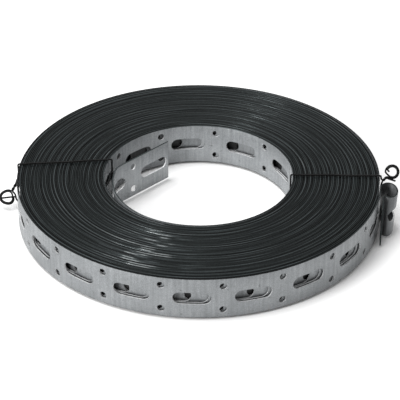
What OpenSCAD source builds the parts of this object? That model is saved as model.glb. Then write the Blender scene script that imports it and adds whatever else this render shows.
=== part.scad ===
// Coil of punched galvanised steel strap, lying flat and held by two twisted tie wires.
// Origin: on the coil's axis, in the plane of its underside. +Z up, the flat tail on the -X side of the bore.

/* [Strap] */
// Width of the strap, which is the height of the coil
strap_w = 30; // [24:1:40]
// Thickness of the strap
strap_t = 1; // [0.6:0.1:1.4]

/* [Punched pattern] */
// Distance from one slot to the next along the strap
slot_pitch = 40; // [36:1:60]
// Length of a slot, end to end
slot_l = 25; // [16:1:26]
// Width of a slot
slot_w = 9; // [6:0.5:11]
// Diameter of a nail hole
nail_d = 5; // [3:0.5:6]
// Distance between the two nail holes of a pair, across the strap
nail_gap = 18; // [17:0.5:18]

/* [Coil] */
// Diameter of the bore
bore_d = 128; // [110:1:150]
// Number of turns
turns = 54; // [30:1:70]
// Air between one turn and the next
turn_gap = 0.143; // [0.1:0.01:0.4]
// Most that a turn stands above its neighbours
turn_wander = 0.5; // [0:0.1:0.8]
// Depth of the groove between two turns on the ends of the coil
groove_depth = 1; // [0.4:0.1:2]
// Flat lost at each corner of the strap's edge
edge_round = 0.15; // [0.05:0.05:0.25]
// Distance from the outer end's fold to the first slot on the outermost turn
outer_first_slot = 21.2; // [16:0.1:30]
// Distance from where the tail leaves the bore wall to the first slot on the innermost turn
inner_first_slot = 33.2; // [16:0.1:40]

/* [Inner tail] */
// Direction from the axis in which the innermost turn starts to leave the bore wall
tail_leave_az = 250; // [225:1:270]
// Direction from the axis of the tail's bend
tail_bend_az = 171.5; // [165:0.5:185]
// Distance from the bore wall to the tail's bend
tail_bend_gap = 6.6; // [4:0.1:12]
// Direction in which the flat tail runs from its bend
tail_heading = 45.3; // [38:0.1:52]
// Length of the flat tail
tail_l = 48.8; // [46:0.1:52]
// Distance from the tail's free end to the centre of its last slot
tail_last_slot = 14.3; // [13:0.1:20]
// How far the loose innermost turn stands above its neighbours
tail_lift = 0.3; // [0.1:0.1:0.8]

/* [Outer end] */
// Direction from the axis in which the outermost turn leaves the coil
fold_az = -9; // [-14:1:-8]
// Half width of the folded loop, at the underside and at the top
fold_half_w = [5, 6.6];
// Half depth of the folded loop, at the underside and at the top
fold_half_d = [10.2, 9.1];
// Length of the free end past the fold, at the underside and at the top
fold_leg = [12.2, 8.1];
// How much farther back the loop stands at the top
fold_lean = 1.5; // [0:0.5:4]
// Step from the end of the loop to the crease before the free end
fold_crease = [-1.6, -0.8];
// Direction in which the free end past the fold runs
fold_leg_heading = -95; // [-102:1:-90]
// Angle round the loop from the middle of its slot to the nail holes on either side
fold_nail_angle = 114; // [100:1:118]

/* [Tie wires] */
// Diameter of a tie wire
wire_d = 1.25; // [1:0.05:1.6]
// Air between a tie wire and the coil
wire_gap = 0.15; // [0.1:0.05:0.4]
// Radius of a tie wire's bends, to its centre line
wire_bend = 1; // [0.9:0.1:2]
// Direction of the left wire's run down the bore wall, and of its run down the outer wall
left_wire_az = [164.5, 175.3];
// Direction of the right wire's run down the bore wall, and of its run down the outer wall
right_wire_az = [-2.3, -1.6];

// Height at which each wire's twisted ends leave its outer run, left and right
pigtail_z = [17, 27];
// Length of one full twist of a wire's two ends
twist_pitch = 5; // [4:0.5:8]
// Lean of the twisted ends and their eye from flat
pigtail_lean = 57; // [30:1:80]
// Diameter of each wire's eye, to its centre line, left and right
eye_d = [10, 9.2];
// Step from a wire's outer run to the middle of its eye, along the lean, left and right
eye_step = [[-7.1, -10.1], [6.7, 6.5]];

/* [Hidden] */

$fn = 96;
bore_r = bore_d / 2;
turn_pitch = strap_t + turn_gap;
coil_r = bore_r + turns * turn_pitch;
mid_z = strap_w / 2;
coil_top = strap_w + turn_wander;
// How far a punch reaches to each side of the wall that it goes through
punch_reach = 3;
// Clearance of a cutting tool past the strap's edges
past_edge = 1;
wire_sides = 12;
eye_sides = 36;
tail_arc_steps = 16;
fold_step = 15;
fold_end_angle = -120;
// Where a wire's twist starts, clear of the coil's side
twist_start = 1.2;
// Steps in one full twist
twist_steps = 8;
// Distance between the two twisted strands, as a share of the wire, so that they press together
twist_bite = 0.92;
// Where a wire's cut ends start and stop, from the middle of its eye
left_cut_ends = [[[5.4, 0.9], [-6.2, -0.6]], [[4.4, -1.6], [6.3, -4.5]]];
right_cut_ends = [[[-2.4, -4.2], [2.6, -6.4]]];

galvanised = [0.66, 0.68, 0.70];
annealed = [0.12, 0.12, 0.13];

// Turns are counted from the bore outwards
function turn_in(k) = bore_r + k * turn_pitch;
function turn_mid(k) = turn_in(k) + strap_t / 2;
function turn_out(k) = turn_in(k) + strap_t;
// Every few turns stand a little proud of the rest
function turn_lift(k) = k < 2 || k > turns - 4 ? 0 : turn_wander * max(0, sin(47 * k) * sin(131 * k));
function degrees_of(length, r) = length / r * 180 / PI;
function polar(r, az) = [r * cos(az), r * sin(az)];

// One end of the coil's section, from the bore outwards: each turn's edge, then the groove beside it
function end_outline(height, side) = [
    for (k = [0 : turns - 1])
        for (p = [
            [turn_in(k) + (k == 0 ? 0 : edge_round), height + turn_lift(k)],
            [k == turns - 1 ? coil_r : turn_out(k) - edge_round, height + turn_lift(k)],
            [turn_out(k) + turn_gap / 2, height - side * groove_depth]
        ])
            if (k < turns - 1 || p[1] == height + turn_lift(k)) p
];

function reversed(list) = [for (i = [len(list) - 1 : -1 : 0]) list[i]];

module wound_turns() {
    rotate_extrude()
        polygon(concat(end_outline(0, -1), reversed(end_outline(strap_w, 1))));
}

// A slot's outline, its length along x
module slot_outline() {
    square([slot_l - slot_w, slot_w], center = true);
    for (side = [-1, 1])
        translate([side * (slot_l - slot_w) / 2, 0])
            circle(d = slot_w);
}

module nail_pair_outline() {
    for (side = [-1, 1])
        translate([0, side * nail_gap / 2])
            circle(d = nail_d);
}

// Turns an outline in x and y into a punch that points outwards from the coil's axis
module radial_punch(r, az, depth) {
    rotate([0, 0, az])
        translate([r - depth, 0, mid_z])
            rotate([90, 0, 90])
                linear_extrude(2 * depth)
                    children();
}

// A start direction round the coil, and one of the pattern's places counted from it one way or the other
function place_az(start_az, way, first, i, r) = start_az + way * degrees_of(first + i * slot_pitch, r);

module outer_wall_punches() {
    r = turn_mid(turns - 1);
    count = floor((2 * PI * r - outer_first_slot) / slot_pitch);
    difference() {
        for (i = [0 : count - 1])
            radial_punch(coil_r, place_az(fold_az, -1, outer_first_slot, i, r), punch_reach)
                slot_outline();
        translate([0, 0, -past_edge])
            cylinder(r = turn_out(turns - 2), h = strap_w + 2 * past_edge);
    }
    for (i = [0 : count - 1])
        radial_punch(coil_r, place_az(fold_az, -1, outer_first_slot, i + 0.5, r), turn_pitch)
            nail_pair_outline();
}

module bore_wall_punches() {
    r = turn_mid(0);
    count = floor((2 * PI * r - inner_first_slot) / slot_pitch);
    intersection() {
        for (i = [0 : count - 1])
            radial_punch(bore_r, place_az(tail_leave_az, 1, inner_first_slot, i, r), punch_reach)
                slot_outline();
        translate([0, 0, -past_edge])
            cylinder(r = turn_in(1), h = strap_w + 2 * past_edge);
    }
    for (i = [0 : count - 1])
        radial_punch(bore_r, place_az(tail_leave_az, 1, inner_first_slot, i + 0.5, r), turn_pitch)
            nail_pair_outline();
}

// The tail leaves the wall on an arc that stands off centre, tangent to the innermost turn
tail_wall_r = turn_mid(0) + strap_t / 2;
tail_bend_r = bore_r - tail_bend_gap;
tail_bend = polar(tail_bend_r, tail_bend_az);
tail_arc_off = (tail_wall_r ^ 2 - tail_bend_r ^ 2)
    / (2 * (tail_wall_r - tail_bend_r * cos(tail_leave_az - tail_bend_az)));
tail_arc_r = tail_wall_r - tail_arc_off;
tail_arc_centre = polar(tail_arc_off, tail_leave_az);
tail_arc_end = atan2(tail_bend[1] - tail_arc_centre[1], tail_bend[0] - tail_arc_centre[0]);
tail_arc_turn = tail_leave_az - tail_arc_end;

tail_plan = concat(
    [
        for (i = [0 : tail_arc_steps])
            tail_arc_centre + polar(tail_arc_r, tail_leave_az - tail_arc_turn * i / tail_arc_steps)
    ],
    [tail_bend + polar(tail_l, tail_heading)]
);

// The two sides of a strap that stands on edge along a plan
function beside(plan, side) = [
    for (i = [0 : len(plan) - 1])
        let (
            before = plan[max(i - 1, 0)],
            after = plan[min(i + 1, len(plan) - 1)],
            along = (after - before) / norm(after - before)
        )
            plan[i] + side * strap_t / 2 * [-along[1], along[0]]
];

function at_height(points, z) = [for (p = points) [p[0], p[1], z]];

// A strap on edge, along one plan at its lower edge and another at its upper edge
module standing_strap(low_plan, high_plan) {
    count = len(low_plan);
    rows = [
        at_height(beside(low_plan, 1), 0),
        at_height(beside(low_plan, -1), 0),
        at_height(beside(high_plan, -1), strap_w),
        at_height(beside(high_plan, 1), strap_w)
    ];
    corner = function (row, i) row % 4 * count + i;
    sides = [
        for (row = [0 : 3], i = [0 : count - 2])
            for (far_side = [false, true])
                far_side
                    ? [corner(row, i), corner(row + 1, i), corner(row + 1, i + 1)]
                    : [corner(row, i), corner(row + 1, i + 1), corner(row, i + 1)]
    ];
    ends = [
        [for (row = [3 : -1 : 0]) corner(row, 0)],
        [for (row = [0 : 3]) corner(row, count - 1)]
    ];
    polyhedron(points = [for (row = rows) each row], faces = concat(sides, ends), convexity = 6);
}

// The pattern on the flat tail, counted back from its free end
module tail_punches() {
    translate([tail_bend[0], tail_bend[1], 0])
        rotate([0, 0, tail_heading])
            translate([tail_l - tail_last_slot, strap_t, mid_z])
                rotate([90, 0, 0])
                    linear_extrude(2 * strap_t) {
                        slot_outline();
                        translate([-slot_pitch / 2, 0])
                            nail_pair_outline();
                    }
}

// The same pattern where it goes on round the bend and back towards the bore wall
module tail_arc_punches() {
    first = slot_pitch - (tail_l - tail_last_slot);
    translate([tail_arc_centre[0], tail_arc_centre[1], 0]) {
        for (i = [0, 1])
            radial_punch(tail_arc_r, place_az(tail_arc_end, 1, first, i, tail_arc_r), punch_reach)
                slot_outline();
        radial_punch(tail_arc_r, place_az(tail_arc_end, 1, first, 0.5, tail_arc_r), punch_reach)
            nail_pair_outline();
    }
}

// The loose innermost turn and the flat tail
module inner_tail() {
    difference() {
        standing_strap(tail_plan, tail_plan);
        tail_punches();
        tail_arc_punches();
    }
}

// Plan of the folded outer end at its lower or upper edge: round the loop, then back along the coil's side
fold_r = turn_mid(turns - 1);
function fold_y(edge) = fold_r * sin(fold_az) + (edge - 1) * fold_lean;
function fold_x(edge) = sqrt(fold_r ^ 2 - fold_y(edge) ^ 2) + fold_half_w[edge];
function fold_loop(edge) = [
    for (t = [180 : -fold_step : fold_end_angle])
        [fold_x(edge) + fold_half_w[edge] * cos(t), fold_y(edge) + fold_half_d[edge] * sin(t)]
];
function fold_plan(edge) =
    let (loop = fold_loop(edge), crease = loop[len(loop) - 1] + fold_crease)
        concat(loop, [crease, crease + polar(fold_leg[edge] / 2, fold_leg_heading),
            crease + polar(fold_leg[edge], fold_leg_heading)]);

// Loop's middle and half sizes at mid height, where its holes are
fold_mid = [(fold_x(0) + fold_x(1)) / 2, (fold_y(0) + fold_y(1)) / 2];
fold_mid_w = (fold_half_w[0] + fold_half_w[1]) / 2;
fold_mid_d = (fold_half_d[0] + fold_half_d[1]) / 2;
// Angle round the loop to the middle of each rounded end of its slot
fold_slot_end = degrees_of((slot_l - slot_w) / 2, fold_mid_d);

// Turns an outline in x and y into a punch square to the loop at an angle round it
module loop_punch(angle) {
    translate([fold_mid[0] + fold_mid_w * cos(angle), fold_mid[1] + fold_mid_d * sin(angle), mid_z])
        rotate([0, 0, atan2(sin(angle) / fold_mid_d, cos(angle) / fold_mid_w)])
            rotate([90, 0, 90])
                linear_extrude(2 * punch_reach, center = true)
                    children();
}

module folded_end() {
    difference() {
        standing_strap(fold_plan(0), fold_plan(1));
        loop_punch(0)
            square([2 * fold_mid_d * sin(fold_slot_end), slot_w], center = true);
        for (side = [-1, 1]) {
            loop_punch(side * fold_slot_end)
                circle(d = slot_w);
            loop_punch(side * fold_nail_angle)
                nail_pair_outline();
        }
    }
}

module strap() {
    color(galvanised) {
        difference() {
            wound_turns();
            outer_wall_punches();
            bore_wall_punches();
        }
        translate([0, 0, tail_lift])
            inner_tail();
        folded_end();
    }
}

module wire_run(length) {
    cylinder(d = wire_d, h = length, $fn = wire_sides);
}

// A wire round the coil's section in the plane of x and z, from the run in the bore at x = 0
module wire_loop(span) {
    low = -wire_gap - wire_d / 2;
    high = coil_top + wire_gap + wire_d / 2;
    for (end = [[0, low, 180], [span, low, 270], [span, high, 0], [0, high, 90]])
        translate([
            end[0] + (end[0] == 0 ? wire_bend : -wire_bend),
            0,
            end[1] + (end[1] == low ? wire_bend : -wire_bend)
        ])
            rotate([90, 0, 0])
                rotate([0, 0, end[2]])
                    rotate_extrude(angle = 90, $fn = eye_sides)
                        translate([wire_bend, 0])
                            circle(d = wire_d, $fn = wire_sides);
    for (x = [0, span])
        translate([x, 0, low + wire_bend])
            wire_run(high - low - 2 * wire_bend);
    for (z = [low, high])
        translate([wire_bend, 0, z])
            rotate([0, 90, 0])
                wire_run(span - 2 * wire_bend);
}

// A wire through points, one straight stretch after another
module wire_through(points) {
    for (i = [0 : len(points) - 2])
        hull() {
            translate(points[i])
                sphere(d = wire_d, $fn = wire_sides);
            translate(points[i + 1])
                sphere(d = wire_d, $fn = wire_sides);
        }
}

// Two ends of a wire twisted round each other along z
module twisted_pair(length) {
    count = ceil(length / twist_pitch * twist_steps);
    for (side = [0, 180])
        wire_through([
            for (i = [0 : count])
                concat(polar(twist_bite * wire_d / 2, side + 360 * i / twist_steps), length * i / count)
        ]);
}

// The twisted ends, their eye and their cut ends, laid out flat from the wire's outer run
module pigtail(step, d, cut_ends) {
    wire_through([[0, 0, 0], concat(step * 2 * twist_start / norm(step), 0)]);
    rotate([0, 90, atan2(step[1], step[0])])
        translate([0, 0, twist_start])
            twisted_pair(norm(step) - d / 2 - twist_start);
    translate([step[0], step[1], 0]) {
        rotate_extrude($fn = eye_sides)
            translate([d / 2, 0])
                circle(d = wire_d, $fn = wire_sides);
        for (end = cut_ends)
            wire_through([for (p = end) concat(p, 0)]);
    }
}

module tie_wire(az, side, cut_ends) {
    inner = polar(bore_r - wire_gap - wire_d / 2, az[0]);
    outer = polar(coil_r + wire_gap + wire_d / 2, az[1]);
    along = outer - inner;
    translate([inner[0], inner[1], 0])
        rotate([0, 0, atan2(along[1], along[0])])
            wire_loop(norm(along));
    translate([outer[0], outer[1], pigtail_z[side]])
        rotate([pigtail_lean, 0, 0])
            pigtail(eye_step[side], eye_d[side], cut_ends);
}

module tie_wire_left() {
    color(annealed)
        tie_wire(left_wire_az, 0, left_cut_ends);
}

module tie_wire_right() {
    color(annealed)
        tie_wire(right_wire_az, 1, right_cut_ends);
}

strap();
tie_wire_left();
tie_wire_right();
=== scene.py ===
"""Looks of a coil of punched galvanised steel strap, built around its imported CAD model.

Lengths are in millimetres until a mesh is made, and angles in degrees, counted from +X towards +Y.
"""
import math

import bpy
import numpy as np
from mathutils import Euler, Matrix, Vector


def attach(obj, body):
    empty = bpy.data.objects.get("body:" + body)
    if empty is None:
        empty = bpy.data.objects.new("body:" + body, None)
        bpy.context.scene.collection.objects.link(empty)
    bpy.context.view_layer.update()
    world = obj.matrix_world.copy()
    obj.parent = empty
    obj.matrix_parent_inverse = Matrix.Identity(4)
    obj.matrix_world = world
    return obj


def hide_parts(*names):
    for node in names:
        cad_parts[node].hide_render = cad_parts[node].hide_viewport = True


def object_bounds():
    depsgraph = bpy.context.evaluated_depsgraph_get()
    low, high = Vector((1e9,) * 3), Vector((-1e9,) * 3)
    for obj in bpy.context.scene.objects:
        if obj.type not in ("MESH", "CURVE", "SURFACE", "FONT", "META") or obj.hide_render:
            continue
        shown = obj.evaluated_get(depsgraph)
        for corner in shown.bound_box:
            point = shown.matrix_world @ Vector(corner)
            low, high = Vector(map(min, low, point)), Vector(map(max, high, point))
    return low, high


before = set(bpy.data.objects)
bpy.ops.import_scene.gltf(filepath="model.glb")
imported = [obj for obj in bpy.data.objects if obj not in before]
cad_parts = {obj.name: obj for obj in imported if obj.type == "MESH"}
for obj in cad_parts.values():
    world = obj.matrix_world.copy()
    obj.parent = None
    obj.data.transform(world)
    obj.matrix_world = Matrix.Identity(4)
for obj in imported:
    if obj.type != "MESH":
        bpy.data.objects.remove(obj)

CAD_BOX = [list(corner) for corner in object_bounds()]
MM = 0.001

# Strap and coil
STRAP_W = 30.0
STRAP_T = 1.0
# How much the slit edges are rounded, across the thickness and across the width
EDGE_ROUND = (0.16, 0.26)
# Folds of the strap's mesh that are steeper than this, in degrees, look sharp
STRAP_SHARP = 38
BORE_R = 64.0
TURNS = 54
TURN_PITCH = 1.143
LAST_R = BORE_R + (TURNS - 1) * TURN_PITCH + STRAP_T / 2
COIL_TOP = 30.5
# How far the turns stand up unevenly, the step and weight of each layer of waves along the strap, and the lengths
# over which this fades in after the tail and out before the folded end
WANDER = 0.42
WANDER_LAYERS = ((260.0, 1.0), (60.0, 0.2))
WANDER_FADES = (300.0, 900.0)
# Extra air between the turns near both walls, as a share of the pitch, and how many turns it lasts
LOOSE = 0.7
LOOSE_TURNS = 1.0
# The outer turns hold their radius and step out just past the folded end: share of the pitch, the turns that
# it fades over, and the length of the step in turns
HOLD = 0.85
HOLD_FADE = 1.5
HOLD_STEP = 0.035

# Punched pattern
SLOT_PITCH = 40.0
SLOT_L = 25.0
SLOT_W = 9.0
NAIL_R = 2.5
NAIL_OFF = 9.0
# Painted shade on covered turns, standing for the light they lose: how dark they are, by turns from the bore wall and
# from the outer wall. The two outermost turns get a little too, which paints the outer wall darker than the bore wall
BURIED_TURNS = (1.97, 2.03, 2.97, 3.03, 3.97, 4.03)
BORE_SHADE = (0.0, 0.28, 0.28, 1.0, 1.0, 1.0)
OUTSIDE_SHADE = (0.18, 0.18, 0.18, 0.36, 0.36, 1.0)
# Painted shade on the fourth turn's plate, darker towards the left end of the slots on top, by millimetres from their
# middle
CORNER_AT = (-12.1, -9.4, -4.6, -4.3)
CORNER_SHADE = (1.0, 0.45, 0.12, 0.0)
# Painted shade of the tail: the bore's windows behind it are darkened from the second turn on, and the bore wall's
# lower part behind it too, by turns from where the tail leaves
SHADE_BEHIND_TAIL = (
    (0.56, 0.62, 0.76, 0.80, 1.57, 1.6, 1.78, 1.81, 2.57, 2.6, 2.78, 2.81),
    (0.0, 0.4, 0.4, 0.0, 0.0, 0.8, 0.8, 0.0, 0.0, 0.95, 0.95, 0.0),
)
# How far each turn's pattern stands from the wall turn's, from the wall inwards, towards +azimuth
OUTER_PATTERN = (0.0, -2.0, -6.9, 14.0, -12.0)
INNER_PATTERN = (0.0, 2.2, 15.5, -5.8)
# How much further each slot of a deeper turn falls behind the wall turn's, as its round is shorter
OUTER_DRIFT = (0.0, 0.0, 1.6, 1.6, 1.5)
# Least distance between the middles of two slots where one turn's pattern gives way to the next
LEAST_PITCH = 31.0

# Inner tail: where it leaves the bore wall, and where its bend stands off it
LEAVE_AZ = 250.0
BEND_AZ = 171.5
BEND_GAP = 6.6
BEND_R = BORE_R - BEND_GAP
TAIL_HEADING = 45.3
TAIL_L = 48.8
TAIL_LAST_SLOT = 14.3
TAIL_SLOTS = 3
TAIL_NAIL_PAIRS = 2
# How far the tail is lifted, and over what length past it that fades
TAIL_LIFT = 0.3
TAIL_LIFT_FADE = 250.0
INNER_FIRST_SLOT = 33.2

# Folded outer end. Pairs are its lower and upper edge
FOLD_AZ = -9.0
FOLD_HALF_W = (4.8, 5.8)
FOLD_HALF_D = (10.2, 9.1)
FOLD_LEG = (12.2, 8.1)
FOLD_LEAN = 1.5
# From the loop's end to the crease that its leg starts from
FOLD_CREASE = (-1.6, -0.8)
FOLD_LEG_HEADING = -95.0
FOLD_END_ANGLE = -120.0
# Painted shade on the folded end: how much darker than the walls it is, on the scale of the covered turns' painted
# shade, by millimetres from its root
FOLD_SHADE_AT = (0.8, 5.0, 13.0, 16.0, 32.0, 40.0)
FOLD_SHADE = (0.5, 0.93, 0.9, 0.45, 0.42, 0.88)
OUTER_FIRST_SLOT = 21.2

# Tie wires, left and right. WIRE_AZ gives where each crosses the bore wall and the outer wall
WIRE_R = 0.625
WIRE_GAP = 0.15
WIRE_AZ = ((164.5, 175.3), (-2.3, -1.6))
WIRE_SIDES = 12
WIRE_STEP = 0.35
WIRE_BEND = 0.8
WIRE_SHARP = 50
# How far a wire strays where it crosses the coil's top, sideways and up, and the step of each wave
WIRE_STRAY = (1.0, 0.12)
WIRE_STRAY_STEP = (14.0, 9.0)
# Where each twist starts: height, and distance out from the wire's outer run
PIGTAIL_Z = (16.0, 26.6)
PIGTAIL_OUT = (1.7, 1.0)
PIGTAIL_LEAN = 57.0
# The twist's pitch, its start and how far it runs into the eye, and the step of its points
TWIST_PITCH = (5.0, 3.4)
TWIST_START = 1.2
TWIST_PAST = 0.3
TWIST_STEP = 0.4
# The eye's radius, and its middle from the start of the twist
EYE_R = (5.0, 4.6)
EYE_STEP = ((-5.7, -10.0), (6.75, 6.5))
EYE_POINTS = 48

# How far touching turns differ in tone on the coil's ends, and each layer's step in degrees and weight
WORN_SPREAD = 0.55
WORN_LAYERS = ((40.0, 1.0), (12.0, 0.4))
# Painted highlight, fixed on the coil: where some edges gleam, and how many turns at the bore and at the outer wall
# don't. Then the streaks of the gleam:
# the step and weight of their waves, their strength, and what is taken off so that gaps stay between them
GLEAM_AZ = 252.0
GLEAM_REACH = 13.0
GLEAM_NONE = (8, 5)
STREAK_LAYER = (5.0, 1.0)
STREAK_GAIN = 2.0
STREAK_GAPS = 0.3

# Seeds of all that wanders
WANDER_SEED = 7
WORN_SEED = 11
STREAK_SEED = 5
SIDEWAYS_SEED = 3
UPWARDS_SEED = 5

# Steps of the strap's mesh, in degrees on the wound turns and in millimetres elsewhere
TURN_STEP = 3.0
BURIED_STEP = 4.0
TAIL_STEP = 1.6
FOLD_STEP = 0.8
# Least distance from a plain column of the mesh to one that a hole needs
COLUMN_GAP = 0.12
# How near a hole's end a column counts as its end
SNAP = 0.002
# Angles round a hole's end at which the mesh has a column, and the decimals that columns and corners are kept to
HOLE_ANGLES = [0, 22, 45, 67, 90]
COLUMN_DIGITS = 3
CORNER_DIGITS = 4
# Points of the path: on the tail's flat and arc, on each wound turn, and round the loop, its crease and its leg
FLAT_POINTS = 80
ARC_POINTS = 160
POINTS_PER_TURN = 720
LOOP_STEPS = 120
CREASE_POINTS = 7
LEG_POINTS = 31
# How many points on each side of the tail's bend and of the crease are rounded
BEND_REACH = 5
CREASE_REACH = 4
# Length over which the strap's direction is taken, to both sides of a place
DIRECTION_REACH = 0.4


def polar(r, az):
    a = np.radians(az)
    return np.stack([r * np.cos(a), r * np.sin(a)], axis=-1)


def lengths(points):
    steps = np.linalg.norm(np.diff(points, axis=0), axis=1)
    return np.concatenate([[0.0], np.cumsum(steps)])


# ---------------------------------------------------------------- the strap's path, end to end


def soften(points, corner, reach):
    """Rounds one corner of a plan with a short curve through its neighbours."""
    a, b, c = points[corner - reach], points[corner], points[corner + reach]
    t = np.linspace(0, 1, 2 * reach + 1)[:, None]
    out = points.copy()
    out[corner - reach : corner + reach + 1] = (1 - t) ** 2 * a + 2 * t * (1 - t) * b + t**2 * c
    return out


def tail_plan():
    """From the tail's free end to its bend, then along the arc to the bore wall."""
    wall_r = BORE_R + STRAP_T / 2
    bend = polar(BEND_R, BEND_AZ)
    swing = math.radians(LEAVE_AZ - BEND_AZ)
    off = (wall_r**2 - BEND_R**2) / (2 * (wall_r - BEND_R * math.cos(swing)))
    centre = polar(off, LEAVE_AZ)
    end_az = math.degrees(math.atan2(bend[1] - centre[1], bend[0] - centre[0])) % 360
    arc = centre + polar(wall_r - off, np.linspace(end_az, LEAVE_AZ, ARC_POINTS))
    flat = bend + np.linspace(TAIL_L, 0, FLAT_POINTS)[:, None] * polar(1.0, TAIL_HEADING)
    return soften(np.concatenate([flat[:-1], arc]), len(flat) - 1, BEND_REACH)


def spiral_plan():
    """Angle and radius of the wound turns, which lie a little looser near both walls, and their number."""
    turns = (FOLD_AZ - LEAVE_AZ) % 360 / 360 + TURNS - 2
    t = np.linspace(0, turns, int(POINTS_PER_TURN * turns))
    pitch = 1 + LOOSE * (np.exp(-t / LOOSE_TURNS) + np.exp((t - turns) / LOOSE_TURNS))
    grown = np.concatenate([[0.0], np.cumsum((pitch[1:] + pitch[:-1]) / 2 * np.diff(t))])
    first_r = BORE_R + STRAP_T / 2
    r = first_r + grown / grown[-1] * (LAST_R - first_r)
    outer = np.maximum(np.ceil(turns - t) - 1, 0)
    phase = outer + 1 - (turns - t)
    held = t + HOLD * np.exp(-outer / HOLD_FADE) * (1 - np.exp(-phase / HOLD_STEP) - phase)
    return LEAVE_AZ + 360 * t, np.interp(held, t, r), turns


def fold_plan(edge):
    """Round the loop and back along the coil's side, at the lower (0) or upper (1) edge."""
    y = LAST_R * math.sin(math.radians(FOLD_AZ)) + (edge - 1) * FOLD_LEAN
    x = math.sqrt(LAST_R**2 - y**2) + FOLD_HALF_W[edge]
    t = np.radians(np.linspace(180, FOLD_END_ANGLE, LOOP_STEPS + 1))
    loop = np.stack([x + FOLD_HALF_W[edge] * np.cos(t), y + FOLD_HALF_D[edge] * np.sin(t)], axis=-1)
    step = np.array(FOLD_CREASE)
    crease = loop[-1] + step
    to_crease = loop[-1] + np.linspace(0, 1, CREASE_POINTS)[1:, None] * step
    leg = crease + np.linspace(0, FOLD_LEG[edge], LEG_POINTS)[1:, None] * polar(1.0, FOLD_LEG_HEADING)
    return soften(np.concatenate([loop, to_crease, leg]), len(loop) + len(to_crease) - 1, CREASE_REACH)


def wander(x, seed, *layers):
    """A value from 0 to 1 that wanders along x. Each layer is its step and its weight."""
    rng = np.random.default_rng(seed)
    total = 0
    for step, weight in layers:
        place = np.maximum(x, 0) / step
        knots = rng.uniform(0, weight, int(place.max()) + 2)
        k = place.astype(int)
        t = place - k
        t = t * t * (3 - 2 * t)
        total = total + (1 - t) * knots[k] + t * knots[k + 1]
    return total / sum(weight for _, weight in layers)


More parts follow.
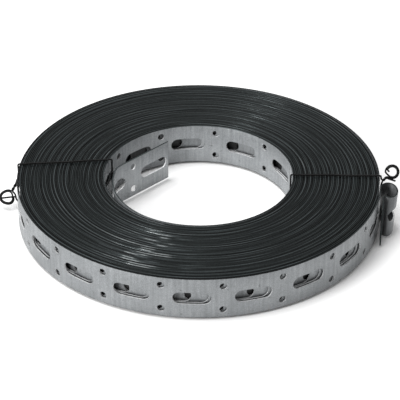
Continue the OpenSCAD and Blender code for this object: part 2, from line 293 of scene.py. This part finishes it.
class StrapPath:
    """Plan of the strap's lower and upper edge against the length along it, from the tail's free end."""

    def __init__(self):
        tail = tail_plan()
        az, r, self.turns = spiral_plan()
        low, high = fold_plan(0), fold_plan(1)
        wound = polar(r, az)
        self.low = np.concatenate([tail[:-1], wound, low[1:]])
        self.high = np.concatenate([tail[:-1], wound, high[1:]])
        self.s = lengths((self.low + self.high) / 2)
        first, last = len(tail) - 1, len(tail) + len(wound) - 2
        self.az, self.az_s = az, self.s[first : last + 1]
        self.leave, self.fold, self.end = self.s[first], self.s[last], self.s[-1]
        self.loop_s = self.s[last : last + LOOP_STEPS + 1]
        after, before = WANDER_FADES
        steady = np.clip((self.s - self.leave) / after, 0, 1) * np.clip((self.fold - self.s) / before, 0, 1)
        self.lift = steady * WANDER * wander(self.s, WANDER_SEED, *WANDER_LAYERS)
        self.lift += TAIL_LIFT * np.clip(1 - (self.s - self.leave) / TAIL_LIFT_FADE, 0, 1)

    def at_angle(self, az):
        """Place along the strap of an angle on the wound turns, counted on from where the tail leaves."""
        return np.interp(az, self.az, self.az_s)

    def on_loop(self, angle):
        """Place along the strap of an angle round the folded loop."""
        return float(self.loop_s[round((180 - angle) / (180 - FOLD_END_ANGLE) * LOOP_STEPS)])

    def buried_shade(self, s, v):
        """How dark a place is painted for the shade of what covers it, from 0 in the open to 1. The tail covers the
        wall's lower part. Past the fold it is the folded end's painted shade.
        """
        inner = (np.interp(s, self.az_s, self.az) - LEAVE_AZ) / 360
        from_bore = np.interp(inner, BURIED_TURNS, BORE_SHADE)
        from_outside = np.interp(self.turns - inner, BURIED_TURNS, OUTSIDE_SHADE)
        # Painted shade on the fourth turn's plate near the left ends of the slots on top
        left = (inner - self.turns) * 2 * math.pi * LAST_R + OUTER_FIRST_SLOT
        place = (left + SLOT_PITCH / 2) % SLOT_PITCH - SLOT_PITCH / 2
        fourth = np.floor(self.turns - inner) == 3
        from_outside = np.maximum(from_outside, fourth * np.interp(place, CORNER_AT, CORNER_SHADE))
        # Painted shade of the tail, on the first turn stronger towards its lower edge
        from_bore = np.maximum(from_bore, np.interp(inner, *SHADE_BEHIND_TAIL) * (1 - (inner < 1) * (v / STRAP_W + 0.5)))
        # Past the fold, the folded end's painted shade
        fold_shade = np.interp(s - self.fold, FOLD_SHADE_AT, FOLD_SHADE)
        return np.where(s > self.fold + FOLD_STEP, fold_shade, np.minimum(from_bore, from_outside))

    def tone_and_gleam(self, s):
        """How bright the strap's edges are. Turns that touch differ in tone at random, and a painted highlight makes
        some gleam near one angle.
        """
        az = np.interp(s, self.az_s, self.az)

        def against_next(seed, *layers):
            around = np.split(wander(np.concatenate([az, az + 360, az + 720]), seed, *layers), 3)
            return around[1] - (around[0] + around[2]) / 2

        inner, outer = (az - self.az[0]) / 360, (self.az[-1] - az) / 360
        # Painted highlight: streaks on some turns' edges near GLEAM_AZ
        off = (az - GLEAM_AZ + 180) % 360 - 180
        gleam = np.exp(-((off / GLEAM_REACH) ** 2))
        gleam = gleam * np.clip(inner - GLEAM_NONE[0], 0, 1) * np.clip(outer - GLEAM_NONE[1], 0, 1)
        streaks = np.clip(against_next(STREAK_SEED, STREAK_LAYER) * STREAK_GAIN - STREAK_GAPS, 0, 1)
        return 0.5 + WORN_SPREAD * against_next(WORN_SEED, *WORN_LAYERS) + gleam * streaks

    def covered(self, s):
        """How many turns lie over a place, up to two, as a share of two."""
        az = np.interp(s, self.az_s, self.az)
        return np.clip(np.floor(np.minimum(az - self.az[0], self.az[-1] - az) / 360), 0, 2) / 2

    def wall_r(self, az):
        """Radius of the outer wall at an angle."""
        top = self.az[-1]
        place = self.plan(self.at_angle(top - (top - az) % 360), 0)
        return float(np.linalg.norm(place)) + STRAP_T / 2

    def plan(self, s, side):
        """Position in plan at the lower (0) or upper (1) edge."""
        table = self.high if side else self.low
        return np.stack([np.interp(s, self.s, table[:, k]) for k in (0, 1)], axis=-1)

    def normal(self, s, side):
        """Unit normal, away from the coil's axis on the wound turns."""
        ahead, behind = np.minimum(s + DIRECTION_REACH, self.end), np.maximum(s - DIRECTION_REACH, 0)
        along = self.plan(ahead, side) - self.plan(behind, side)
        along /= np.linalg.norm(along, axis=-1, keepdims=True)
        return np.stack([along[..., 1], -along[..., 0]], axis=-1)


# ---------------------------------------------------------------- the punched pattern


def wall_pattern(path, start, way, first, offsets, drifts):
    """Slots and nail pairs of the turns at one wall. Each turn's pattern stands off the wall turn's."""
    slots, nails = [], []
    wall_r = BORE_R + STRAP_T / 2 if way > 0 else LAST_R
    count = int(2 * math.pi * wall_r // SLOT_PITCH)
    for turn, (offset, drift) in enumerate(zip(offsets, drifts)):
        for i in range(count):
            for places, along in ((slots, i), (nails, i + 0.5)):
                az = start + way * 360 * turn
                az += math.degrees((way * (first + along * (SLOT_PITCH + drift)) + offset) / wall_r)
                places.append(float(path.at_angle(az)))
    kept = []
    for c in slots:
        if all(abs(c - other) > LEAST_PITCH for other in kept):
            kept.append(c)
    clear = SLOT_L / 2 + 2 * NAIL_R
    pairs = []
    for c in nails:
        if all(abs(c - slot) > clear for slot in kept) and all(abs(c - other) > LEAST_PITCH for other in pairs):
            pairs.append(c)
    return kept, pairs


def pattern(path):
    """Places along the strap of all slots and of all nail pairs."""
    tail_slots = [TAIL_LAST_SLOT + k * SLOT_PITCH for k in range(TAIL_SLOTS)]
    tail_nails = [TAIL_LAST_SLOT + (k + 0.5) * SLOT_PITCH for k in range(TAIL_NAIL_PAIRS)]
    loop_slots = [path.on_loop(0)]
    loop_nails = [loop_slots[0] - SLOT_PITCH / 2, loop_slots[0] + SLOT_PITCH / 2]
    even = (0.0,) * len(INNER_PATTERN)
    inner = wall_pattern(path, LEAVE_AZ, 1, INNER_FIRST_SLOT, INNER_PATTERN, even)
    outer = wall_pattern(path, LEAVE_AZ + 360 * path.turns, -1, OUTER_FIRST_SLOT, OUTER_PATTERN, OUTER_DRIFT)
    slots = sorted(tail_slots + inner[0] + outer[0] + loop_slots)
    nails = sorted(tail_nails + inner[1] + outer[1] + loop_nails)
    return np.array(slots), np.array(nails)


def slot_half(u):
    """Half the slot's opening at a distance along the strap from its middle."""
    past = max(abs(u) - (SLOT_L - SLOT_W) / 2, 0)
    return math.sqrt(max((SLOT_W / 2) ** 2 - past**2, 0)) if past < SLOT_W / 2 - SNAP else 0.0


def nail_half(u):
    """Half a nail hole's opening at a distance along the strap from its middle."""
    return math.sqrt(NAIL_R**2 - u**2) if abs(u) < NAIL_R - SNAP else 0.0


def hole_columns(slots, nails):
    """Places along the strap where a hole's outline needs a column."""
    straight = (SLOT_L - SLOT_W) / 2
    bow = np.sin(np.radians(HOLE_ANGLES))
    slot_steps = np.concatenate([straight + SLOT_W / 2 * bow, [straight / 2]])
    slot_steps = np.concatenate([-slot_steps, [0.0], slot_steps])
    nail_steps = NAIL_R * np.concatenate([-bow, bow])
    return np.concatenate([np.add.outer(slots, slot_steps).ravel(), np.add.outer(nails, nail_steps).ravel()])


def columns(path, slots, nails):
    """All places along the strap where its mesh has a column of points, in order."""
    top = LEAVE_AZ + 360 * path.turns
    punched = 360 * len(OUTER_PATTERN)
    middle = np.arange(LEAVE_AZ + punched, top - punched, BURIED_STEP)
    ends = [np.arange(LEAVE_AZ, middle[0], TURN_STEP), np.arange(top - punched, top, TURN_STEP)]
    plain = np.concatenate([
        np.arange(0, path.leave, TAIL_STEP),
        path.at_angle(np.concatenate([ends[0], middle, ends[1]])),
        np.arange(path.fold, path.end, FOLD_STEP),
        [path.end],
    ])
    fixed = np.unique(np.round(hole_columns(slots, nails), COLUMN_DIGITS))
    neighbours = np.clip(np.searchsorted(fixed, plain)[:, None] + [-1, 0], 0, len(fixed) - 1)
    near = np.abs(plain[:, None] - fixed[neighbours])
    plain = plain[near.min(axis=1) > COLUMN_GAP]
    return np.unique(np.round(np.concatenate([plain, fixed]), COLUMN_DIGITS))


# ---------------------------------------------------------------- the strap's mesh

# Kinds of surface, in the order of the strap's materials
FACE, SLIT, PUNCHED = 0, 1, 2


def nearest(value, places):
    """The one of the sorted places that is nearest to a value."""
    k = np.searchsorted(places, value)
    near = places[max(k - 1, 0) : k + 1]
    return near[np.argmin(np.abs(near - value))]


def bands(s, middle, slots, nails):
    """Solid stretches across the strap at s, for the cell whose middle is given."""
    half = STRAP_W / 2
    slot, nail = nearest(middle, slots), nearest(middle, nails)
    if abs(middle - slot) < SLOT_L / 2:
        h = slot_half(s - slot)
        return [(-half, -h), (h, half)]
    if abs(middle - nail) < NAIL_R:
        h = nail_half(s - nail)
        return [(-half, -NAIL_OFF - h), (-NAIL_OFF + h, NAIL_OFF - h), (NAIL_OFF + h, half)]
    return [(-half, half)]


def section(v0, v1):
    """Outline of one band across the strap and its sides' kinds. The strap's own two edges are rounded."""
    t, half = STRAP_T / 2, STRAP_W / 2
    c, b = EDGE_ROUND
    low, low_kinds = [(v0, -t), (v0, t)], [PUNCHED]
    if v0 == -half:
        low, low_kinds = [(v0 + b, -t), (v0, c - t), (v0, t - c), (v0 + b, t)], [SLIT] * 3
    high, high_kinds = [(v1, t), (v1, -t)], [PUNCHED]
    if v1 == half:
        high, high_kinds = [(v1 - b, t), (v1, t - c), (v1, c - t), (v1 - b, -t)], [SLIT] * 3
    return low + high, low_kinds + [FACE] + high_kinds + [FACE]


def hole_tips(across):
    """Where across the strap a hole's end is a single point, from the stretches at that end."""
    return [v1 for (_, v1), (v0, _) in zip(across, across[1:]) if v1 == v0]


def with_tips(start, end, tips):
    """An outline's edge from start to end, with the tips of the next cell's holes that lie on it."""
    if start[1] != end[1]:
        return [start, end]
    between = [v for v in tips if min(start[0], end[0]) < v < max(start[0], end[0])]
    return [start, *((v, start[1]) for v in sorted(between, reverse=start[0] > end[0])), end]


class StrapMesh:
    """Collects the strap's faces and what kind of surface each is."""

    def __init__(self, path, slots, nails):
        self.path, self.slots, self.nails = path, slots, nails
        self.verts, self.faces, self.kinds = [], [], []
        self.known = {}

    def vertex(self, s, v, depth):
        key = (s, round(v, CORNER_DIGITS), round(depth, CORNER_DIGITS))
        if key not in self.known:
            self.known[key] = len(self.verts)
            self.verts.append(key)
        return self.known[key]

    def polygon(self, corners, kind):
        ids = list(dict.fromkeys(self.vertex(*c) for c in corners))
        if len(ids) > 2:
            self.faces.append(ids)
            self.kinds.append(kind)

    def run(self, places):
        """Adds the strap over the places given, with its holes and its two cut ends."""
        cells = list(zip(places, places[1:]))
        near_sides = [bands(s0, (s0 + s1) / 2, self.slots, self.nails) for s0, s1 in cells]
        far_sides = [bands(s1, (s0 + s1) / 2, self.slots, self.nails) for s0, s1 in cells]
        for i, (s0, s1) in enumerate(cells):
            near_tips = hole_tips(far_sides[i - 1]) if i > 0 else []
            far_tips = hole_tips(near_sides[i + 1]) if i + 1 < len(cells) else []
            for near_band, far_band in zip(near_sides[i], far_sides[i]):
                near, kinds = section(*near_band)
                far, _ = section(*far_band)
                for k, kind in enumerate(kinds):
                    j = (k + 1) % len(near)
                    near_edge = with_tips(near[k], near[j], near_tips)
                    far_edge = with_tips(far[j], far[k], far_tips)
                    self.polygon([(s0, *c) for c in near_edge] + [(s1, *c) for c in far_edge], kind)
        outline, _ = section(-STRAP_W / 2, STRAP_W / 2)
        for s, flip in ((places[0], -1), (places[-1], 1)):
            self.faces.append([self.vertex(s, v, d) for v, d in outline][::flip])
            self.kinds.append(SLIT)

    def positions(self):
        """Positions in metres of all vertices."""
        s, v, d = np.array(self.verts).T
        share = (v / STRAP_W + 0.5)[:, None]
        path = self.path
        plan = (1 - share) * path.plan(s, 0) + share * path.plan(s, 1)
        normal = (1 - share) * path.normal(s, 0) + share * path.normal(s, 1)
        normal /= np.linalg.norm(normal, axis=1, keepdims=True)
        plan = plan + normal * d[:, None]
        z = v + STRAP_W / 2 + np.interp(s, path.s, path.lift)
        return np.column_stack([plan, z]) * MM


def link(name, data):
    obj = bpy.data.objects.new(name, data)
    bpy.context.scene.collection.objects.link(obj)
    return obj


def smooth_object(name, points, faces):
    data = bpy.data.meshes.new(name)
    data.from_pydata(points.tolist(), [], faces)
    data.polygons.foreach_set("use_smooth", [True] * len(faces))
    data.update()
    return link(name, data)


def add_value(data, name, values):
    data.attributes.new(name, "FLOAT", "POINT").data.foreach_set("value", np.asarray(values, dtype=np.float32))


def strap_object(path):
    """The whole strap from the tail's free end to the folded outer end, with its coordinates for the materials."""
    slots, nails = pattern(path)
    mesh = StrapMesh(path, slots, nails)
    mesh.run([float(s) for s in columns(path, slots, nails)])
    obj = smooth_object("strap_wound", mesh.positions(), mesh.faces)
    data = obj.data
    data.polygons.foreach_set("material_index", mesh.kinds)
    data.set_sharp_from_angle(angle=math.radians(STRAP_SHARP))
    s, v, _ = np.array(mesh.verts).T
    corners = np.empty(len(data.loops), dtype=np.int32)
    data.loops.foreach_get("vertex_index", corners)
    layer = data.uv_layers.new(name="along_strap")
    layer.uv.foreach_set("vector", np.column_stack([s, v])[corners].astype(np.float32).ravel() * MM)
    add_value(data, "buried_shade", path.buried_shade(s, v))
    add_value(data, "covered", path.covered(s))
    add_value(data, "tone_and_gleam", path.tone_and_gleam(s))
    return obj


# ---------------------------------------------------------------- the tie wires


def smooth_path(points, step, reach):
    """Evenly spaced points on a path whose corners are rounded, with its ends kept."""
    s = lengths(points)
    places = np.linspace(0, s[-1], int(s[-1] / step) + 1)
    path = np.stack([np.interp(places, s, points[:, k]) for k in range(3)], axis=-1)
    half = round(reach / step)
    for _ in range(2):
        padded = np.concatenate([
            2 * path[0] - path[half:0:-1],
            path,
            2 * path[-1] - path[-2 : -half - 2 : -1],
        ])
        sums = np.cumsum(np.concatenate([np.zeros((1, 3)), padded]), axis=0)
        path = (sums[2 * half + 1 :] - sums[: -2 * half - 1]) / (2 * half + 1)
    return path


def tube(name, path, radius, sides):
    """A round wire swept along a path, with flat cut ends."""
    along = np.gradient(path, axis=0)
    along /= np.linalg.norm(along, axis=1, keepdims=True)
    some_direction = (0.3, 0.5, 0.8)
    across = np.cross(along[0], some_direction)
    turn = np.linspace(0, 2 * math.pi, sides, endpoint=False)[:, None]
    rings = []
    for place, forward in zip(path, along):
        across = across - forward * (across @ forward)
        across /= np.linalg.norm(across)
        rings.append(place + radius * (np.cos(turn) * across + np.sin(turn) * np.cross(forward, across)))
    faces = [
        (i * sides + k, i * sides + (k + 1) % sides, (i + 1) * sides + (k + 1) % sides, (i + 1) * sides + k)
        for i in range(len(path) - 1)
        for k in range(sides)
    ]
    last = (len(path) - 1) * sides
    faces += [tuple(range(sides))[::-1], tuple(range(last, last + sides))]
    obj = smooth_object(name, np.concatenate(rings) * MM, faces)
    obj.data.set_sharp_from_angle(angle=math.radians(WIRE_SHARP))
    return obj


def eye_arc(radius, start, stop, height, point_az, point):
    """Part of a wire's eye, in the plane of its pigtail, drawn out a little towards one side."""
    t = np.linspace(start, stop, EYE_POINTS)
    r = radius + point * np.cos(np.radians(t - point_az)) ** 3
    return np.column_stack([polar(1.0, t) * r[:, None], np.linspace(*height, len(t))])


# How each wire goes on past its twist, from the middle of its eye: the strand that makes the eye, then the other
STRAND_ENDS = (
    (
        [
            eye_arc(4.9, 62, 350, (0.0, 0.2), 185, 1.2),
            eye_arc(4.1, 355, 905, (1.1, 1.1), 185, 1.1),
            [(-4.6, -0.8, 1.2), (-1.0, -0.3, 1.4), (5.6, 0.3, 1.3)],
        ],
        [[(3.8, 3.2, -1.0), (5.0, 0.9, -1.2), (5.2, -1.4, -0.9), (8.4, -4.3, 0.0)]],
    ),
    (
        [
            eye_arc(4.6, 232, 545, (0.0, 0.3), 60, 0.2),
            eye_arc(3.7, 565, 880, (1.1, 1.2), 60, 0.2),
            [(-1.9, 0.2, 1.2)],
        ],
        [[(-3.2, -4.4, -0.6), (-0.8, -5.2, -0.4), (2.5, -6.2, 0.0)]],
    ),
)
# Where each wire leaves the coil's side for its twist: out and up from its outer run, above and below the twist
JOINTS = (
    ([(0.0, 5.0), (1.7, 1.6)], [(0.2, -10.5), (1.4, -2.4)]),
    ([(0.0, 2.9), (0.5, 1.5)], [(0.0, -12.0), (0.5, -2.6)]),
)


def pigtail(side, root):
    """The two strands of a wire's twist and what follows each, in world millimetres."""
    lean = math.radians(PIGTAIL_LEAN)
    up = np.array([(1, 0, 0), (0, math.cos(lean), math.sin(lean)), (0, -math.sin(lean), math.cos(lean))])
    step = np.array(EYE_STEP[side])
    forward = step / np.linalg.norm(step)
    sideways = np.array([-forward[1], forward[0]])
    t = np.arange(TWIST_START, np.linalg.norm(step) - EYE_R[side] + TWIST_PAST, TWIST_STEP)
    strands = []
    for strand, parts in enumerate(STRAND_ENDS[side]):
        twist = np.radians(360 * t / TWIST_PITCH[side] + 180 * strand)
        flat = t[:, None] * forward + WIRE_R * np.cos(twist)[:, None] * sideways
        points = [np.column_stack([flat, WIRE_R * np.sin(twist)])]
        points += [np.asarray(part, dtype=float) + (*step, 0) for part in parts]
        strands.append(root + np.concatenate(points) @ up)
    return strands


def tie_wire(side, name, wall_r):
    """One wire from its first cut end through its eye, twist, run round the coil and twist to the other end."""
    stand = WIRE_GAP + WIRE_R
    inner, outer = polar(BORE_R - stand, WIRE_AZ[side][0]), polar(wall_r + stand, WIRE_AZ[side][1])
    span = np.linalg.norm(outer - inner)
    out = (outer - inner) / span
    low, high = -stand, COIL_TOP + stand
    root = np.array([*(outer + PIGTAIL_OUT[side] * out), PIGTAIL_Z[side]])
    above, below = ([(span + x, PIGTAIL_Z[side] + z) for x, z in joint] for joint in JOINTS[side])
    corners = [*above[::-1], (span, high), (0, high), (0, low), (span, low), *below]
    run = np.array([(*(inner + x * out), z) for x, z in corners])
    first, second = pigtail(side, root)
    path = smooth_path(np.concatenate([first[::-1], run, second]), WIRE_STEP, WIRE_BEND)
    # The wire isn't quite straight where it crosses the coil's top
    over = np.clip((path[:, 2] - high + 0.5) / 0.5, 0, 1)
    x = (path[:, :2] - inner) @ out
    over *= np.sin(np.pi * np.clip(x / span, 0, 1))
    sideways = wander(x, SIDEWAYS_SEED + side, (WIRE_STRAY_STEP[0], 1.0)) - 0.5
    upwards = wander(x, UPWARDS_SEED + side, (WIRE_STRAY_STEP[1], 1.0)) - 0.5
    path[:, :2] += (over * WIRE_STRAY[0] * sideways)[:, None] * np.array([-out[1], out[0]])
    path[:, 2] += over * WIRE_STRAY[1] * upwards
    return tube(name, path, WIRE_R, WIRE_SIDES)


# ---------------------------------------------------------------- materials


class Look:
    """A material with one shader, and short ways to add nodes to it."""

    def __init__(self, name, metallic, coords="Object", specular=0.5):
        self.material = bpy.data.materials.new(name)
        self.material.use_nodes = True
        self.nodes, self.links = self.material.node_tree.nodes, self.material.node_tree.links
        self.nodes.clear()
        out = self.nodes.new("ShaderNodeOutputMaterial")
        self.shader = self.nodes.new("ShaderNodeBsdfPrincipled")
        self.shader.inputs["Metallic"].default_value = metallic
        self.shader.inputs["Specular IOR Level"].default_value = specular
        self.links.new(self.shader.outputs["BSDF"], out.inputs["Surface"])
        if coords == "Object":
            self.coords = self.nodes.new("ShaderNodeTexCoord").outputs["Object"]
        else:
            uv = self.nodes.new("ShaderNodeUVMap")
            uv.uv_map = coords
            self.coords = uv.outputs["UV"]

    def noise(self, scale, detail, stretch=(1, 1, 1), rough=0.5):
        """Noise with about so many waves a metre, before it is stretched."""
        mapping = self.nodes.new("ShaderNodeMapping")
        mapping.inputs["Scale"].default_value = stretch
        tex = self.nodes.new("ShaderNodeTexNoise")
        tex.inputs["Scale"].default_value = scale
        tex.inputs["Detail"].default_value = detail
        tex.inputs["Roughness"].default_value = rough
        self.links.new(self.coords, mapping.inputs["Vector"])
        self.links.new(mapping.outputs["Vector"], tex.inputs["Vector"])
        return tex.outputs["Fac"]

    def value(self, name):
        """A value that the mesh carries at its points."""
        node = self.nodes.new("ShaderNodeAttribute")
        node.attribute_name = name
        return node.outputs["Fac"]

    def across(self):
        """Place across the strap, from 0 at its lower edge to 1 at its upper one."""
        split = self.nodes.new("ShaderNodeSeparateXYZ")
        self.links.new(self.coords, split.inputs["Vector"])
        return self.math("MULTIPLY_ADD", split.outputs["Y"], 1 / (STRAP_W * MM), 0.5)

    def math(self, operation, *inputs):
        node = self.nodes.new("ShaderNodeMath")
        node.operation = operation
        for socket, value in zip(node.inputs, inputs):
            if isinstance(value, float):
                socket.default_value = value
            else:
                self.links.new(value, socket)
        return node.outputs["Value"]

    def ramp(self, factor, *stops):
        """Colours or grey levels by a factor. Each stop is a place from 0 to 1 and its colour or level."""
        node = self.nodes.new("ShaderNodeValToRGB")
        while len(node.color_ramp.elements) < len(stops):
            node.color_ramp.elements.new(0.5)
        for element, (place, colour) in zip(node.color_ramp.elements, stops):
            element.position = place
            element.color = (*colour, 1) if isinstance(colour, tuple) else (colour, colour, colour, 1)
        self.links.new(factor, node.inputs["Fac"])
        return node.outputs["Color"]

    def times(self, first, *others):
        for other in others:
            node = self.nodes.new("ShaderNodeMix")
            node.data_type, node.blend_type = "RGBA", "MULTIPLY"
            node.inputs["Factor"].default_value = 1.0
            self.links.new(first, node.inputs["A"])
            self.links.new(other, node.inputs["B"])
            first = node.outputs["Result"]
        return first

    def finish(self, colour, roughness, *bumps):
        """Links colour and roughness, then bumps, each a height with its depth in metres."""
        self.links.new(colour, self.shader.inputs["Base Color"])
        self.links.new(roughness, self.shader.inputs["Roughness"])
        normal = None
        for height, depth in bumps:
            node = self.nodes.new("ShaderNodeBump")
            node.inputs["Distance"].default_value = depth
            self.links.new(height, node.inputs["Height"])
            if normal:
                self.links.new(normal, node.inputs["Normal"])
            normal = node.outputs["Normal"]
        self.links.new(normal, self.shader.inputs["Normal"])
        return self.material


def galvanised_face():
    """Dull zinc on the strap's two sides, with painted shade where turns on top keep the light out."""
    look = Look("galvanised_face", 0.55, "along_strap")
    cloud = look.noise(45, 5)
    spangle = look.noise(420, 3, rough=0.6)
    grain = look.noise(1500, 2)
    cross = look.noise(420, 4, (1, 0.03, 1), 0.6)
    specks = look.noise(260, 6, rough=0.7)
    # Painted shade: hardly any light gets in below a slot of the turn on top, behind its edges, and beyond its nail
    # holes
    across, covered = look.across(), look.value("covered")
    seam_shade = look.ramp(
        across, (0.05, 1.0), (0.06, 0.0), (0.28, 0.0), (0.29, 1.0), (0.34, 1.0), (0.42, 0.0), (0.94, 0.0), (0.95, 1.0)
    )
    row_shade = look.ramp(across, (0.35, 1.0), (0.355, 0.0), (0.645, 0.0), (0.65, 1.0))
    first = look.math("MULTIPLY", seam_shade, look.ramp(covered, (0.2, 0.0), (0.3, 1.0)))
    second = look.math("MULTIPLY", row_shade, look.ramp(covered, (0.7, 0.0), (0.8, 1.0)))
    shade = look.math("MAXIMUM", first, second)
    colour = look.times(
        look.ramp(cloud, (0.3, (0.385, 0.405, 0.418)), (0.7, (0.495, 0.515, 0.53))),
        look.ramp(spangle, (0.3, 0.82), (0.7, 1.0)),
        look.ramp(grain, (0.3, 0.68), (0.7, 1.0)),
        look.ramp(cross, (0.3, 0.74), (0.7, 1.02)),
        look.ramp(specks, (0.30, 0.35), (0.37, 1.0)),
        # painted shade of the covered turns
        look.ramp(look.value("buried_shade"), (0.0, 1.0), (1.0, 0.03)),
        # painted shade below slots, behind edges and beyond nail holes of the turns on top
        look.ramp(shade, (0.0, 1.0), (1.0, 0.06)),
    )
    return look.finish(colour, look.ramp(spangle, (0.2, 0.38), (0.8, 0.55)), (cross, 0.0005), (grain, 0.00004))


def slit_edge():
    """The strap's long edges, which make the coil's ends: nearly black, with a tone that differs from turn to turn,
    and painted highlight where some gleam.
    """
    look = Look("slit_edge", 0.5, "along_strap", 0.16)
    tone_and_gleam = look.value("tone_and_gleam")
    patches = look.noise(30, 5, (1, 0.2, 1), 0.65)
    fine = look.noise(700, 3, (1, 0.2, 1))
    colour = look.times(
        # Random tone between turns, and at the top the painted highlight of the gleaming streaks
        look.ramp(
            tone_and_gleam,
            (0.3, (0.006, 0.0072, 0.0075)),
            (0.5, (0.025, 0.0305, 0.031)),
            (0.7, (0.079, 0.094, 0.097)),
            (0.8, (0.096, 0.112, 0.115)),
            (1.0, (0.34, 0.37, 0.375)),
        ),
        look.ramp(patches, (0.3, 0.6), (0.65, 1.0)),
        look.ramp(fine, (0.3, 0.7), (0.7, 1.0)),
        # a little painted shade on covered edges
        look.ramp(look.value("buried_shade"), (0.0, 1.0), (1.0, 0.9)),
    )
    return look.finish(colour, look.ramp(patches, (0.45, 0.5), (0.6, 0.14)), (fine, 0.0001))


def punched_edge():
    """Bright bare metal round the slots and nail holes."""
    look = Look("punched_edge", 0.3, "along_strap")
    burr = look.noise(800, 4)
    colour = look.times(
        look.ramp(burr, (0.3, (0.62, 0.63, 0.64)), (0.7, (0.9, 0.91, 0.92))),
        # painted shade on covered punched edges
        look.ramp(look.value("buried_shade"), (0.0, 1.0), (1.0, 0.1)),
    )
    return look.finish(colour, look.ramp(burr, (0.2, 0.28), (0.8, 0.45)), (burr, 0.0001))


def annealed_wire():
    """Black scale on the tie wires."""
    look = Look("annealed_wire", 0.5, specular=0.2)
    scale = look.noise(700, 4)
    drawn = look.noise(90, 3)
    colour = look.times(
        look.ramp(scale, (0.3, (0.004, 0.004, 0.0042)), (0.8, (0.018, 0.018, 0.018))),
        look.ramp(drawn, (0.3, 0.7), (0.7, 1.0)),
    )
    return look.finish(colour, look.ramp(scale, (0.2, 0.36), (0.8, 0.58)), (scale, 0.00005))


def floor_paint():
    look = Look("floor_paint", 0.0)
    cloud = look.noise(2, 2)
    colour = look.ramp(cloud, (0.3, 0.95), (0.7, 0.97))
    return look.finish(colour, look.ramp(cloud, (0.3, 0.88), (0.7, 0.92)), (cloud, 0.0001))


# ---------------------------------------------------------------- camera, floor and light

# The camera looks at the middle of the coil's bore. Its distance is in metres, its lens in millimetres
ELEVATION = 32.68
DISTANCE = 1.2462
FOCAL = 161.47
SENSOR_W = 36
ROLL = 0.16
SHIFT = (0.0024, -0.0192)
CLIP = (0.05, 50)

# The floor's half width and how far it lies below the part, in metres
FLOOR_R = 6.0
FLOOR_GAP = 0.0001

# The light from all round, then each lamp's place and size in metres and its power in watts
WORLD_STRENGTH = 0.53
LAMPS = (("key", (-1.42, -1.10, 0.95), 1.0, 26), ("top", (-0.5, 0.0, 2.0), 1.2, 30))


def make_camera():
    e = math.radians(ELEVATION)
    data = bpy.data.cameras.new("camera")
    data.lens = FOCAL
    data.sensor_width = SENSOR_W
    data.shift_x, data.shift_y = SHIFT
    data.clip_start, data.clip_end = CLIP
    cam = link("camera", data)
    cam.location = Vector((0, 0, STRAP_W / 2 * MM)) + DISTANCE * Vector((0, -math.cos(e), math.sin(e)))
    turn = Euler((math.pi / 2 - e, 0, 0)).to_matrix() @ Euler((0, 0, math.radians(ROLL))).to_matrix()
    cam.rotation_euler = turn.to_euler()
    bpy.context.scene.camera = cam


def area_light(name, place, size, power):
    """A round soft light that faces the coil."""
    data = bpy.data.lights.new(name, "AREA")
    data.shape = "DISK"
    data.size = size
    data.energy = power
    light = link(name, data)
    light.location = place
    light.rotation_euler = (-Vector(place)).to_track_quat("-Z", "Y").to_euler()


def make_floor(z):
    data = bpy.data.meshes.new("floor")
    r = FLOOR_R
    data.from_pydata([(-r, -r, z), (r, -r, z), (r, r, z), (-r, r, z)], [], [(0, 1, 2, 3)])
    data.materials.append(floor_paint())
    link("floor", data)


def make_light():
    world = bpy.data.worlds.new("studio")
    world.use_nodes = True
    background = world.node_tree.nodes["Background"].inputs
    background["Color"].default_value = (1, 1, 1, 1)
    background["Strength"].default_value = WORLD_STRENGTH
    bpy.context.scene.world = world
    for lamp in LAMPS:
        area_light(*lamp)
    bpy.context.scene.view_settings.view_transform = "Standard"


# ---------------------------------------------------------------- putting it together

path = StrapPath()
strap = strap_object(path)
for make in (galvanised_face, slit_edge, punched_edge):
    strap.data.materials.append(make())
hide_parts("strap")
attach(strap, "root")

wire_look = annealed_wire()
for side, node in enumerate(("tie_wire_left", "tie_wire_right")):
    wire = tie_wire(side, node + "_bent", path.wall_r(WIRE_AZ[side][1]))
    wire.data.materials.append(wire_look)
    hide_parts(node)
    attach(wire, "root")

make_camera()
make_floor(CAD_BOX[0][2] - FLOOR_GAP)
make_light()
